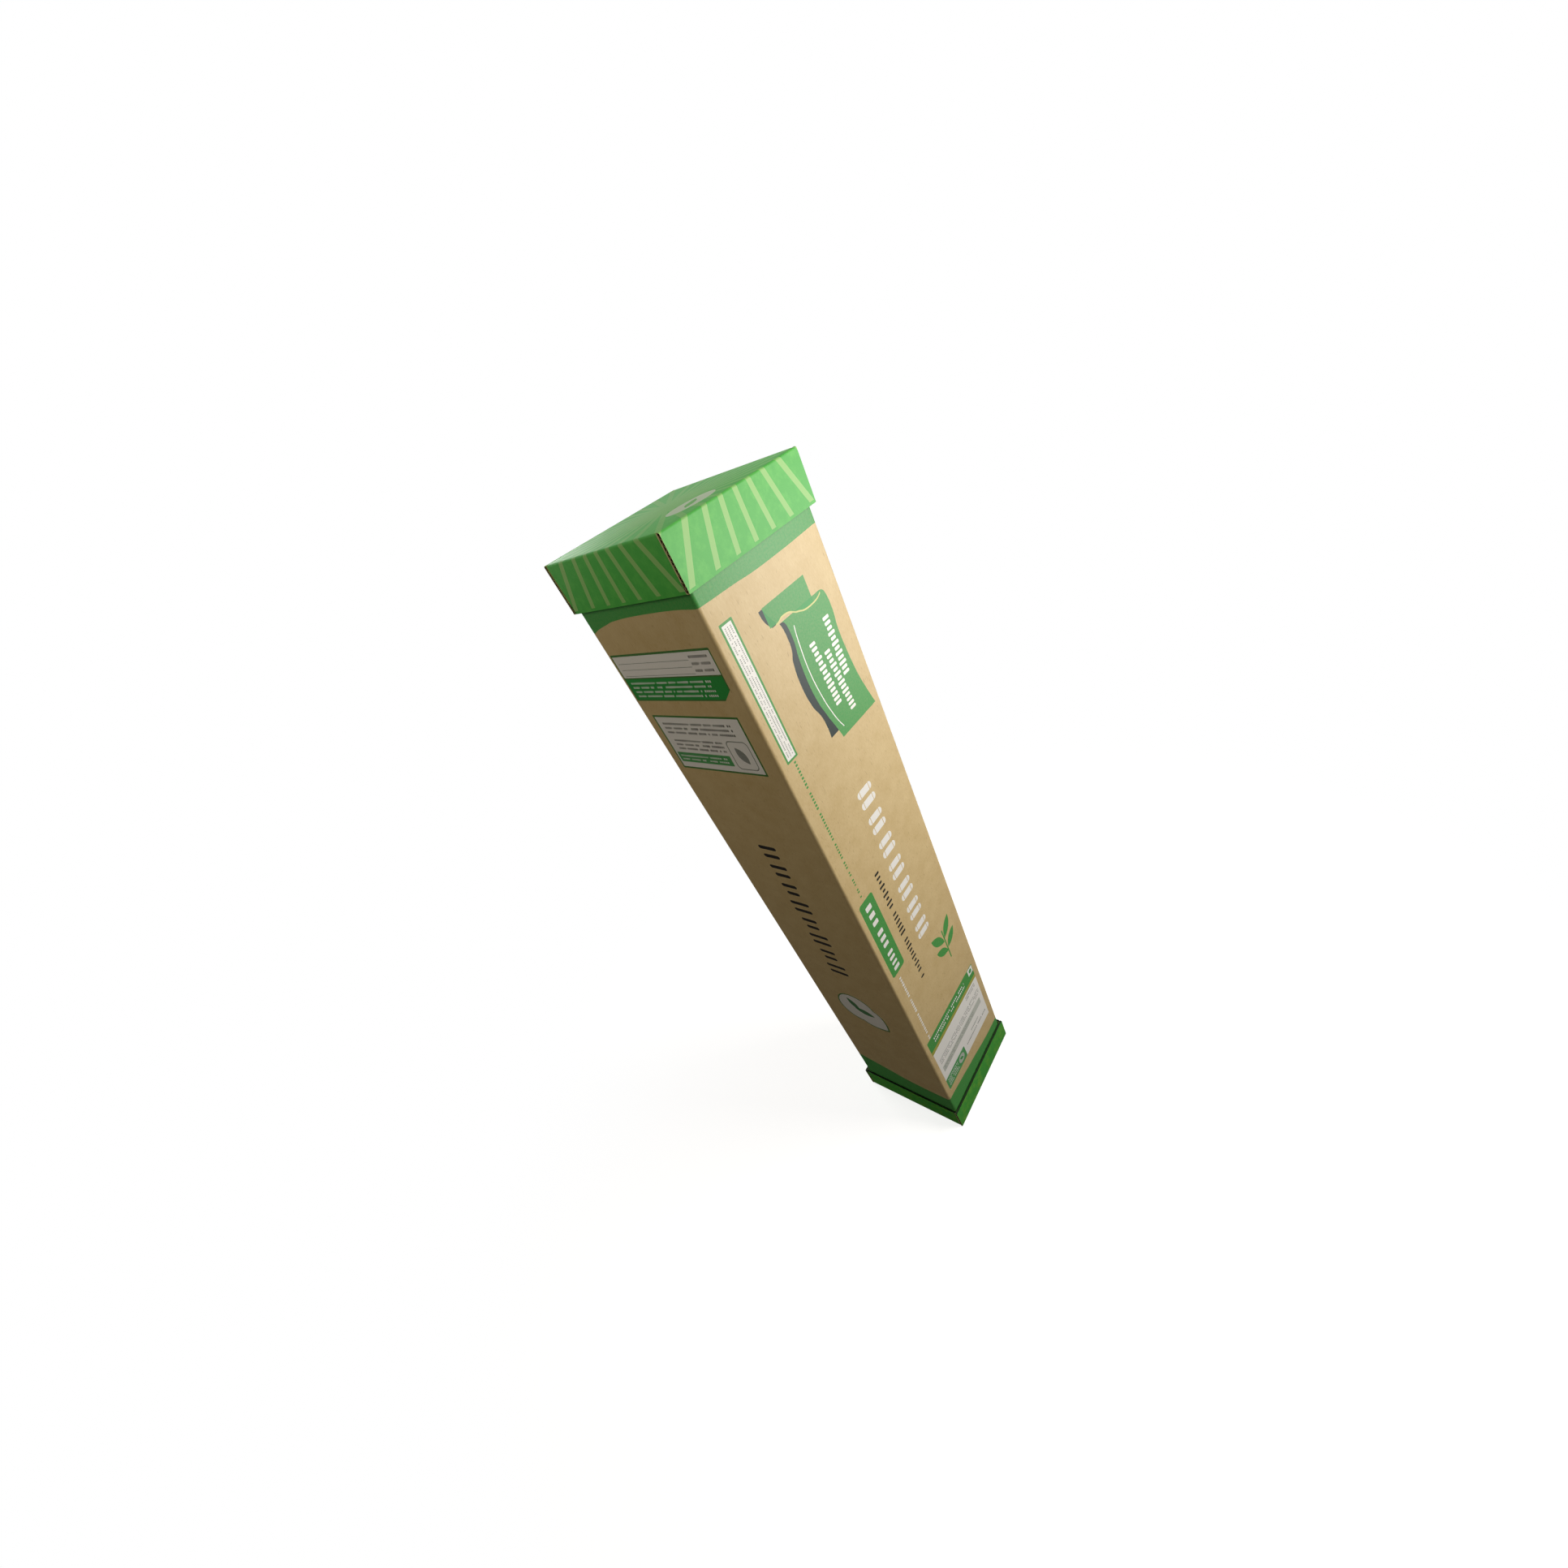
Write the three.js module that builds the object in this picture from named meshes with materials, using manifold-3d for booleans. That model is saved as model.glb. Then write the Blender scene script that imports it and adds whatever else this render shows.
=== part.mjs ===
// A tall corrugated carton for sending used lamp tubes to be recycled: a printed tube standing in a glued tray,
// a lift-off lid, and inside it a barrier bag with a second carton for the lamps.
// Millimetres, +Z up, origin on the floor under the middle of the box, printed front towards -Y.
import * as THREE from "three";
import { mergeVertices } from "three/addons/utils/BufferGeometryUtils.js";
import Module from "manifold-3d";

// Overall sizes
const boxHeight = 1247; // floor to the top of the lid
const sleeveWidth = 222; // outside of the printed tube, left to right
const sleeveDepth = 222; // outside of the printed tube, front to back

// Corrugated board
const board = 4;
const liner = 0.5; // each outer paper of the board
const fluteWall = 0.5; // the wavy paper between the liners
const flutePitch = 7.8;
const openFluteDepth = 6; // how far the open ends of the flutes are cut in
const rawEdgeMargin = 1.2; // plain board left above and below a row of open flutes

// Folds and glue laps
const sleeveFold = 5; // outside radius of the tube's upright folds
const innerFold = 4; // outside radius of the inner carton's folds
const capFold = 2.5; // outside radius of the folds of the lid and the tray
const lapFold = 2.5; // outside radius where a glue lap turns in
const insideFold = 0.8;
const lapThickness = 1.7; // a glue lap is crushed thin
const lapWidth = 38;

// Lid and tray
const lidWall = 62; // outside height
const trayWall = 54; // outside height
const lidClearance = 0.3; // air between the lid and the tube on each side
const trayClearance = 0.8; // air between the tray and the tube on each side
const cornerTab = 45; // length of the glue tabs inside the lid and the tray
const tabRelief = 3; // how far a tab stops short of the panel and of the rim

// Inner carton, bag and zip
const seatGap = 0.3; // air between pieces that touch
const film = 0.4;
const bagSlack = 0.6; // air between the bag and the tube's glue lap
const rimDrop = 7; // inner carton's rim below the lid's underside
const flapGap = 2; // slit where two bottom flaps meet
const flapInset = 1.5; // bottom flaps are cut this much shy of the side panels
const cuffLength = 110; // how far the bag's mouth is turned down inside
const cuffFold = 3; // outside radius of the mouth's upright corners
const zipHeight = 12;
const zipFlange = 0.6;
const zipRidge = 0.6; // height of the rib and the lips above the flange
const ribWidth = 2;
const lipWidth = 1.2;
const zipEdge = 25; // film below the zip
const zipBreak = 2; // air between the two halves of the zip at the side seams

const arcSteps = 6; // straight steps in a quarter turn
const quarter = Math.PI / 2;
const grooveStart = Math.PI / 9; // a lap fold leaves the board beside it at this angle

// Levels
const lidUnderside = boxHeight - board;
const sleeveBottom = board + seatGap;
const sleeveTop = lidUnderside - seatGap;
const bagBottom = board + seatGap;
const innerBottom = bagBottom + film + seatGap;
const innerTop = lidUnderside - rimDrop;
const bagTop = innerTop + seatGap + film;
const cuffBottom = bagTop - cuffLength;

// Plan sizes
const bagWidth = sleeveWidth - 2 * (board + lapThickness + bagSlack);
const bagDepth = sleeveDepth - 2 * (board + lapThickness + bagSlack);
const innerWidth = bagWidth - 2 * (film + seatGap);
const innerDepth = bagDepth - 2 * (film + seatGap);
const zipThickness = zipFlange + zipRidge;
const zipInset = board + lapThickness + seatGap; // from the inner carton's outside to the zip
const cuffInset = zipInset + zipThickness + seatGap;
const bagFold = film + seatGap; // the film is drawn tight round the carton's corners

const wasm = await Module();
wasm.setup();

function toSolid(geometry) {
  geometry.deleteAttribute("normal");
  geometry.deleteAttribute("uv");
  const welded = mergeVertices(geometry);
  return new wasm.Manifold(
    new wasm.Mesh({
      numProp: 3,
      vertProperties: welded.attributes.position.array,
      triVerts: new Uint32Array(welded.index.array),
    }),
  );
}

function toGeometry(solid) {
  const mesh = solid.getMesh();
  const geometry = new THREE.BufferGeometry();
  geometry.setAttribute("position", new THREE.Float32BufferAttribute(mesh.vertProperties, 3));
  geometry.setIndex(Array.from(mesh.triVerts));
  const flat = geometry.toNonIndexed();
  flat.computeVertexNormals();
  return flat;
}

const axisX = new THREE.Vector3(1, 0, 0);
const axisY = new THREE.Vector3(0, 1, 0);
const axisZ = new THREE.Vector3(0, 0, 1);

function extruded(outline, low, high) {
  const options = { depth: high - low, bevelEnabled: false, curveSegments: arcSteps };
  return new THREE.ExtrudeGeometry(outline, options).translate(0, 0, low);
}

// A plan outline in X and Y, raised from one height to another.
function upright(outline, low, high) {
  return toSolid(extruded(outline, low, high));
}

// A side outline in Y and Z, carried along X.
function alongX(outline, low, high) {
  const turn = new THREE.Matrix4().makeBasis(axisY, axisZ, axisX);
  return toSolid(extruded(outline, low, high).applyMatrix4(turn));
}

// A front outline in X and Z, carried along Y.
function alongY(outline, low, high) {
  const turn = new THREE.Matrix4().makeBasis(axisX, axisZ, axisY.clone().negate());
  return toSolid(extruded(outline, -high, -low).applyMatrix4(turn));
}

function block(left, right, front, back, low, high) {
  const size = new THREE.BoxGeometry(right - left, back - front, high - low);
  return toSolid(size.translate((left + right) / 2, (front + back) / 2, (low + high) / 2));
}

// A rectangle whose corners are rounded one by one: low left, low right, high right, high left.
function rectangle(left, right, low, high, [lowLeft, lowRight, highRight, highLeft]) {
  const outline = new THREE.Shape();
  const corner = (x, y, radius, start) => {
    if (radius > 0) outline.absarc(x, y, radius, start, start + quarter, false);
    else outline.lineTo(x, y);
  };
  outline.moveTo(left + lowLeft, low);
  corner(right - lowRight, low + lowRight, lowRight, -quarter);
  corner(right - highRight, high - highRight, highRight, 0);
  corner(left + highLeft, high - highLeft, highLeft, quarter);
  corner(left + lowLeft, low + lowLeft, lowLeft, 2 * quarter);
  return outline;
}

function centred(width, depth, radius) {
  return rectangle(-width / 2, width / 2, -depth / 2, depth / 2, Array(4).fill(radius));
}

// A four-sided wall seen from above.
function ring(width, depth, radius, wall) {
  const outline = centred(width, depth, radius);
  outline.holes.push(centred(width - 2 * wall, depth - 2 * wall, radius - wall));
  return outline;
}

// A glued tube seen from above. At the back right corner the right panel ends in a raw edge, and the back
// panel turns in beside it and is glued to its inner face as a thin lap.
function gluedTube(width, depth, fold) {
  const x = width / 2;
  const y = depth / 2;
  const lapFace = x - board - lapThickness;
  const lapEnd = y - board - lapWidth;
  const outline = new THREE.Shape();
  outline.moveTo(-x + fold, -y);
  outline.absarc(x - fold, -y + fold, fold, -quarter, 0, false);
  outline.lineTo(x, y);
  outline.lineTo(x - board, y);
  outline.lineTo(x - board, y - lapFold);
  outline.absarc(x - board - lapFold, y - lapFold, lapFold, grooveStart, quarter, false);
  outline.absarc(-x + fold, y - fold, fold, quarter, 2 * quarter, false);
  outline.absarc(-x + fold, -y + fold, fold, 2 * quarter, 3 * quarter, false);
  const hollow = new THREE.Path();
  const left = -x + board;
  const front = -y + board;
  hollow.moveTo(left + insideFold, front);
  hollow.absarc(x - board - insideFold, front + insideFold, insideFold, -quarter, 0, false);
  hollow.lineTo(x - board, lapEnd);
  hollow.lineTo(lapFace, lapEnd);
  hollow.lineTo(lapFace, y - board);
  hollow.absarc(left + insideFold, y - board - insideFold, insideFold, quarter, 2 * quarter, false);
  hollow.absarc(left + insideFold, front + insideFold, insideFold, 2 * quarter, 3 * quarter, false);
  outline.holes.push(hollow);
  return outline;
}

// The open ends of the flutes in a raw edge between two faces of a board: a row of triangles that point
// to one liner and the other in turn.
function openFlutes(outerFace, innerFace, low, high) {
  const towards = Math.sign(innerFace - outerFace);
  const base = [outerFace + towards * liner, innerFace - towards * liner];
  const rise = Math.abs(base[1] - base[0]) - fluteWall;
  const halfBase = flutePitch / 2 - fluteWall;
  const count = Math.floor((high - low - flutePitch) / (flutePitch / 2)) + 1;
  const first = (low + high - ((count - 1) * flutePitch) / 2) / 2;
  const triangles = [];
  for (let i = 0; i < count; i++) {
    const middle = first + (i * flutePitch) / 2;
    const side = i % 2;
    const tip = base[side] + (side ? -towards : towards) * rise;
    const triangle = new THREE.Shape();
    triangle.moveTo(base[side], middle - halfBase);
    triangle.lineTo(base[side], middle + halfBase);
    triangle.lineTo(tip, middle);
    triangles.push(triangle);
  }
  return triangles;
}

// A tray folded from one blank, open upwards. Its left and right walls end in tabs that are glued behind the
// front and back walls, whose raw ends show at the corners.
function foldedTray(clearance, wallHeight) {
  const x = sleeveWidth / 2 + clearance + board;
  const behind = sleeveDepth / 2 + clearance + lapThickness;
  const y = behind + board;
  const plan = upright(centred(2 * x, 2 * behind, lapFold), 0, wallHeight);
  const folded = alongY(rectangle(-x, x, 0, wallHeight, [capFold, capFold, 0, 0]), -behind, behind);
  const hollow = block(board - x, x - board, -y, y, board, wallHeight + board);
  let tray = plan.intersect(folded).subtract(hollow);
  for (const side of [-1, 1]) {
    const outer = side * y;
    const inner = side * behind;
    const near = Math.min(outer, inner);
    const far = Math.max(outer, inner);
    const corners = side < 0 ? [capFold, 0, 0, 0] : [0, capFold, 0, 0];
    tray = tray.add(alongX(rectangle(near, far, 0, wallHeight, corners), -x, x));
    const tabFace = inner - side * lapThickness;
    for (const end of [-1, 1]) {
      const tabEnds = [end * (x - lapFold), end * (x - board - cornerTab)].sort((a, b) => a - b);
      const tabFaces = [inner, tabFace].sort((a, b) => a - b);
      tray = tray.add(block(...tabEnds, ...tabFaces, board + tabRelief, wallHeight - tabRelief));
      const cut = [end * (x - openFluteDepth), end * (x + board)].sort((a, b) => a - b);
      const rowLow = capFold + rawEdgeMargin;
      for (const opening of openFlutes(outer, inner, rowLow, wallHeight - rawEdgeMargin))
        tray = tray.subtract(alongX(opening, ...cut));
    }
  }
  return tray;
}

function sleeveSolid() {
  return upright(gluedTube(sleeveWidth, sleeveDepth, sleeveFold), sleeveBottom, sleeveTop);
}

// A tube closed below by four flaps: the front and back flaps lie outermost, and the left and right flaps
// lie on them, each pair meeting at a slit.
function innerBoxSolid() {
  const x = innerWidth / 2;
  const y = innerDepth / 2;
  const flapTop = innerBottom + board;
  const floorTop = flapTop + board;
  const tube = upright(gluedTube(innerWidth, innerDepth, innerFold), flapTop, innerTop);
  const sideFolds = alongY(rectangle(-x, x, flapTop, innerTop, [capFold, capFold, 0, 0]), -y, y);
  const longFlaps = rectangle(-y, y, innerBottom, flapTop, [capFold, capFold, 0, 0]);
  return tube
    .intersect(sideFolds)
    .add(alongX(longFlaps, -x + innerFold + flapInset, x - innerFold - flapInset))
    .add(block(-x + board, x - board, -y + board, y - board, flapTop, floorTop))
    .subtract(block(-x, x, -flapGap / 2, flapGap / 2, innerBottom - board, flapTop))
    .subtract(block(-flapGap / 2, flapGap / 2, board - y, y - board, flapTop, floorTop + board));
}

// A gusseted pouch round the inner carton, its mouth turned in over the rim and down inside.
function bagSolid() {
  const cuffWidth = innerWidth - 2 * cuffInset;
  const cuffDepth = innerDepth - 2 * cuffInset;
  const web = centred(bagWidth, bagDepth, bagFold);
  web.holes.push(centred(cuffWidth - 2 * film, cuffDepth - 2 * film, cuffFold - film));
  return upright(ring(bagWidth, bagDepth, bagFold, film), bagBottom, bagTop)
    .add(upright(centred(bagWidth, bagDepth, bagFold), bagBottom, bagBottom + film))
    .add(upright(web, bagTop - film, bagTop))
    .add(upright(ring(cuffWidth, cuffDepth, cuffFold, film), cuffBottom, bagTop));
}

// Half of the press-to-close zip: a flange welded to the bag and, on its face, ridges at the given heights.
function zipHalf(side, ridges) {
  const width = innerWidth - 2 * zipInset;
  const depth = innerDepth - 2 * zipInset;
  const low = cuffBottom + zipEdge;
  const flangeWidth = width - 2 * zipRidge;
  const flangeDepth = depth - 2 * zipRidge;
  let strip = upright(ring(flangeWidth, flangeDepth, cuffFold, zipFlange), low, low + zipHeight);
  for (const [from, to] of ridges)
    strip = strip.add(upright(ring(width, depth, cuffFold, zipThickness), low + from, low + to));
  const faces = [(side * zipBreak) / 2, side * innerDepth].sort((a, b) => a - b);
  return strip.intersect(block(-innerWidth, innerWidth, ...faces, low, low + zipHeight));
}

const zipMiddle = zipHeight / 2;
const rib = [[zipMiddle - ribWidth / 2, zipMiddle + ribWidth / 2]];
const lips = [
  [zipMiddle - ribWidth / 2 - lipWidth, zipMiddle - ribWidth / 2],
  [zipMiddle + ribWidth / 2, zipMiddle + ribWidth / 2 + lipWidth],
];

const carton = new THREE.Group();

function place(name, solid, color, roughness, metalness = 0) {
  const material = new THREE.MeshStandardMaterial({ color, roughness, metalness });
  const mesh = new THREE.Mesh(toGeometry(solid), material);
  mesh.name = name;
  carton.add(mesh);
  return mesh;
}

const printedGreen = 0x4fa04c;
const kraft = 0xc3a679;
place("outer_sleeve", sleeveSolid(), kraft, 0.85);
place("base_tray", foldedTray(trayClearance, trayWall), printedGreen, 0.7);
place("inner_box", innerBoxSolid(), kraft, 0.9);
place("barrier_bag", bagSolid(), 0xc9ccce, 0.3, 0.6);
place("zip_rib", zipHalf(-1, rib), 0xf2f3f0, 0.4);
place("zip_groove", zipHalf(1, lips), 0xf2f3f0, 0.4);
const lid = place("lid", foldedTray(lidClearance, lidWall), printedGreen, 0.7);
lid.rotation.x = Math.PI;
lid.position.z = boxHeight;

export default carton;
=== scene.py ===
import math
import bpy
from mathutils import Matrix, Vector


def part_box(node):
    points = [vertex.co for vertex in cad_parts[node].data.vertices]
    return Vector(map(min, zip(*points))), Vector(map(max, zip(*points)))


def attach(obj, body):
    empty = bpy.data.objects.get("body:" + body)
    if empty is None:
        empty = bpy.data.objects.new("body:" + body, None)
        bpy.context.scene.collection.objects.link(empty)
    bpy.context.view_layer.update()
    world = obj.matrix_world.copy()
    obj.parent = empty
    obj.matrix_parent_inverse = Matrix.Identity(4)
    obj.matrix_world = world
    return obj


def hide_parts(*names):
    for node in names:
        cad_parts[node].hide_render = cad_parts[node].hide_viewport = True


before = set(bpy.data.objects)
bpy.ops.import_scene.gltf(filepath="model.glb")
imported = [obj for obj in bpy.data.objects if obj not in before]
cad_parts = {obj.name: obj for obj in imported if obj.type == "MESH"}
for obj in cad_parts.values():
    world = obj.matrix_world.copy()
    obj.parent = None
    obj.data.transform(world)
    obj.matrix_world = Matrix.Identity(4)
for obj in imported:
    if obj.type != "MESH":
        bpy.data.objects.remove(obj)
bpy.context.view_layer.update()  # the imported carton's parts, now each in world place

mm = 0.001
touch = 0.1 * mm  # points closer than this count as one place
square = 0.9  # a face's normal this far along an axis looks that way
quarter = math.pi / 2


# Working in edit mode

def selectNothing():
    if bpy.context.mode != "OBJECT":
        bpy.ops.object.mode_set(mode="OBJECT")
    bpy.ops.object.select_all(action="DESELECT")


def makeActive(piece):
    piece.select_set(True)
    bpy.context.view_layer.objects.active = piece


def pick(piece, kind, test):
    selectNothing()
    makeActive(piece)
    bpy.ops.object.mode_set(mode="EDIT")
    bpy.ops.mesh.select_mode(type=kind)
    bpy.ops.mesh.select_all(action="DESELECT")
    bpy.ops.object.mode_set(mode="OBJECT")
    mesh = piece.data
    if kind == "FACE":
        for face in mesh.polygons:
            face.select = test(face.center, face.normal)
    else:
        for edge in mesh.edges:
            first, second = (mesh.vertices[i].co for i in edge.vertices)
            edge.select = test(first, second)
    bpy.ops.object.mode_set(mode="EDIT")


def block(low, high):
    selectNothing()
    middle = [(a + b) / 2 for a, b in zip(low, high)]
    size = [b - a for a, b in zip(low, high)]
    bpy.ops.mesh.primitive_cube_add(size=1, location=middle, scale=size)
    bpy.ops.object.transform_apply(location=True, rotation=True, scale=True)
    return bpy.context.object


def modify(piece, kind, **settings):
    selectNothing()
    makeActive(piece)
    modifier = piece.modifiers.new(kind.lower(), kind)
    for name, value in settings.items():
        setattr(modifier, name, value)
    bpy.ops.object.modifier_apply(modifier=modifier.name)


def combine(piece, other, operation):
    modify(piece, "BOOLEAN", object=other, operation=operation, solver="EXACT")
    bpy.data.objects.remove(other)


def joinAll(piece, others):
    selectNothing()
    for other in others:
        other.select_set(True)
    makeActive(piece)
    bpy.ops.object.join()


def finishPiece(piece, name, body, node, sharpest=32):
    selectNothing()
    makeActive(piece)
    bpy.ops.object.shade_smooth_by_angle(angle=math.radians(sharpest))
    piece.name = name
    piece.data.name = name
    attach(piece, body)
    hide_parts(node)


# Colour and nodes

def linear(code):
    parts = [int(code[i:i + 2], 16) / 255 for i in (1, 3, 5)]
    curved = [c / 12.92 if c <= 0.04045 else ((c + 0.055) / 1.055) ** 2.4 for c in parts]
    return (*curved, 1.0)


colourMix = {"data_type": "RGBA"}


def addNode(tree, kind, settings, values=()):
    # settings may be just an operation; a node given as a value stands for its first output
    node = tree.nodes.new("ShaderNode" + kind)
    if isinstance(settings, str):
        settings = {"operation": settings}
    for name, value in settings.items():
        setattr(node, name, value)
    pairs = values.items() if isinstance(values, dict) else enumerate(values)
    for socket, value in pairs:
        if isinstance(value, bpy.types.Node):
            value = value.outputs[0]
        if isinstance(value, bpy.types.NodeSocket):
            tree.links.new(value, node.inputs[socket])
        else:
            node.inputs[socket].default_value = value
    return node


def ribs(tree, along, pitch):
    turns = addNode(tree, "Math", "MULTIPLY", (along, 2 * math.pi / pitch))
    return addNode(tree, "Math", "SINE", (turns,))


def dress(tree, shader, colour, height, relief, surface):
    # relief is the bump's strength and depth; surface holds the uniform numbers
    bump = addNode(tree, "Bump", {}, {"Strength": relief[0], "Distance": relief[1], "Height": height})
    tree.links.new(colour, shader.inputs["Base Color"])
    tree.links.new(bump.outputs[0], shader.inputs["Normal"])
    for name, value in surface.items():
        shader.inputs[name].default_value = value


def newMaterial(name):
    material = bpy.data.materials.new(name)
    material.use_nodes = True
    tree = material.node_tree
    return material, tree, tree.nodes["Principled BSDF"]


# Camera, at the photo's viewing angle

cameraSettings = {
    "place": (-0.5103, -0.6432, 1.3242),
    "forward": (0.50793, 0.64387, -0.57222),
    "up": (0.66626, 0.12740, 0.73476),
    "lens": 14.139,
    "sensor": 36.0,
    "shift": (-0.02297, 0.02357),
}


def makeCamera(settings):
    data = bpy.data.cameras.new("studioCamera")
    data.lens = settings["lens"]
    data.sensor_width = settings["sensor"]
    data.shift_x, data.shift_y = settings["shift"]
    data.clip_start = 0.01
    camera = bpy.data.objects.new("studioCamera", data)
    bpy.context.scene.collection.objects.link(camera)
    back = -Vector(settings["forward"]).normalized()
    up = Vector(settings["up"])
    right = up.cross(back).normalized()
    up = back.cross(right)
    turn = Matrix((right, up, back)).transposed().to_4x4()
    camera.matrix_world = Matrix.Translation(settings["place"]) @ turn
    bpy.context.scene.camera = camera


makeCamera(cameraSettings)
print("camera placed")


# Corrugated board, with fluting between two liners

boardSettings = {
    "thickness": 4.0 * mm,
    "liner": 0.5 * mm,
    "medium": 0.35 * mm,
    "flutePitch": 7.8 * mm,
    "stepsPerFlute": 8,
    "sunk": 0.3 * mm,  # how far the fluting ends under a raw rim
}


def fluteStrip(start, end, low, high, settings):
    # a wavy paper that runs from start to end between two heights
    run = Vector(end) - Vector(start)
    flutes = max(1, round(run.length / settings["flutePitch"]))
    steps = flutes * settings["stepsPerFlute"]
    selectNothing()
    bpy.ops.mesh.primitive_grid_add(x_subdivisions=steps, y_subdivisions=1, size=1)
    strip = bpy.context.object
    reach = settings["thickness"] / 2 - settings["liner"] - settings["medium"] / 2
    for vertex in strip.data.vertices:
        along = vertex.co.x + 0.5
        up = vertex.co.y + 0.5
        wave = reach * math.sin(2 * math.pi * along * flutes)
        vertex.co = (along * run.length, wave, low + up * (high - low))
    modify(strip, "SOLIDIFY", thickness=settings["medium"], offset=0.0)
    turn = Matrix.Rotation(math.atan2(run.y, run.x), 4, "Z")
    strip.matrix_world = Matrix.Translation(start) @ turn
    bpy.ops.object.transform_apply(location=True, rotation=True, scale=True)
    return strip


# The printed tube, folded from one strip of board

sleeveSettings = {
    "fold": 5.0 * mm,
    "lapFold": 2.5 * mm,
    "foldSteps": 6,
    "lapWidth": 38.0 * mm,
    "lapThickness": 1.7 * mm,
    "openFlutes": 14.0 * mm,
}


def upright(x, y):
    def test(first, second):
        return all(abs(p.x - x) < touch and abs(p.y - y) < touch for p in (first, second))
    return test


def makeSleeve(settings, board):
    low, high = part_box("outer_sleeve")
    thick = board["thickness"]
    width, depth, height = (b - a for a, b in zip(low, high))
    selectNothing()
    middle = (high[0], (low[1] + high[1]) / 2, (low[2] + high[2]) / 2)
    bpy.ops.mesh.primitive_plane_add(size=1, location=middle, rotation=(0, quarter, 0))
    sleeve = bpy.context.object
    sleeve.scale = (height, depth, 1)
    bpy.ops.object.transform_apply(location=True, rotation=True, scale=True)
    turns = [  # the upright edge that is drawn on, and how far
        ((high[0], low[1]), (-width, 0, 0)),
        ((low[0], low[1]), (0, depth, 0)),
        ((low[0], high[1]), (width - thick, 0, 0)),
        ((high[0] - thick, high[1]), (0, -thick - settings["lapWidth"], 0)),
    ]
    for (x, y), move in turns:
        pick(sleeve, "EDGE", upright(x, y))
        bpy.ops.mesh.extrude_edges_move(TRANSFORM_OT_translate={"value": move})
    for (x, y), move in turns:
        last = (x, y) == turns[-1][0]
        pick(sleeve, "EDGE", upright(x, y))
        bpy.ops.mesh.bevel(
            offset=settings["lapFold"] if last else settings["fold"],
            segments=settings["foldSteps"], affect="EDGES")
    selectNothing()
    full = sleeve.vertex_groups.new(name="fullBoard")
    lapFace = high[0] - thick
    onLap = [abs(v.co.x - lapFace) < touch and v.co.y > middle[1] for v in sleeve.data.vertices]
    full.add([index for index, lap in enumerate(onLap) if not lap], 1.0, "REPLACE")
    modify(sleeve, "SOLIDIFY", thickness=thick, offset=-1.0, use_even_offset=True,
           vertex_group="fullBoard", thickness_vertex_group=settings["lapThickness"] / thick)
    sleeve.vertex_groups.clear()
    pick(sleeve, "FACE", lambda c, n: n.z > square and c.z > high[2] - touch)
    bpy.ops.mesh.inset(thickness=board["liner"], use_even_offset=True)
    bpy.ops.mesh.extrude_region_move(TRANSFORM_OT_translate={"value": (0, 0, -settings["openFlutes"])})
    selectNothing()
    near = settings["fold"]
    left, right = low[0] + thick / 2, high[0] - thick / 2
    front, back = low[1] + thick / 2, high[1] - thick / 2
    runs = [
        ((low[0] + near, front, 0), (high[0] - near, front, 0)),
        ((right, low[1] + near, 0), (right, high[1] - near, 0)),
        ((high[0] - near, back, 0), (low[0] + near, back, 0)),
        ((left, high[1] - near, 0), (left, low[1] + near, 0)),
    ]
    bottom = high[2] - settings["openFlutes"] + board["medium"]
    top = high[2] - board["sunk"]
    joinAll(sleeve, [fluteStrip(a, b, bottom, top, board) for a, b in runs])
    return sleeve


sleeve = makeSleeve(sleeveSettings, boardSettings)
print("tube folded")


# The lid and the tray, each folded and glued from one blank

capSettings = {
    "fold": 2.5 * mm,
    "foldSteps": 4,
    "lapThickness": 1.7 * mm,
    "tabLength": 45.0 * mm,
    "tabRelief": 3.0 * mm,
    "tabTaper": 0.82,
    "openFlutes": 12.0 * mm,
}


def span(a, b):
    return (min(a, b), max(a, b))


def hollowEnd(piece, board, test, inward):
    pick(piece, "FACE", test)
    bpy.ops.mesh.inset(thickness=board["liner"], use_even_offset=True)
    bpy.ops.mesh.extrude_region_move(TRANSFORM_OT_translate={"value": inward})
    selectNothing()


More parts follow.
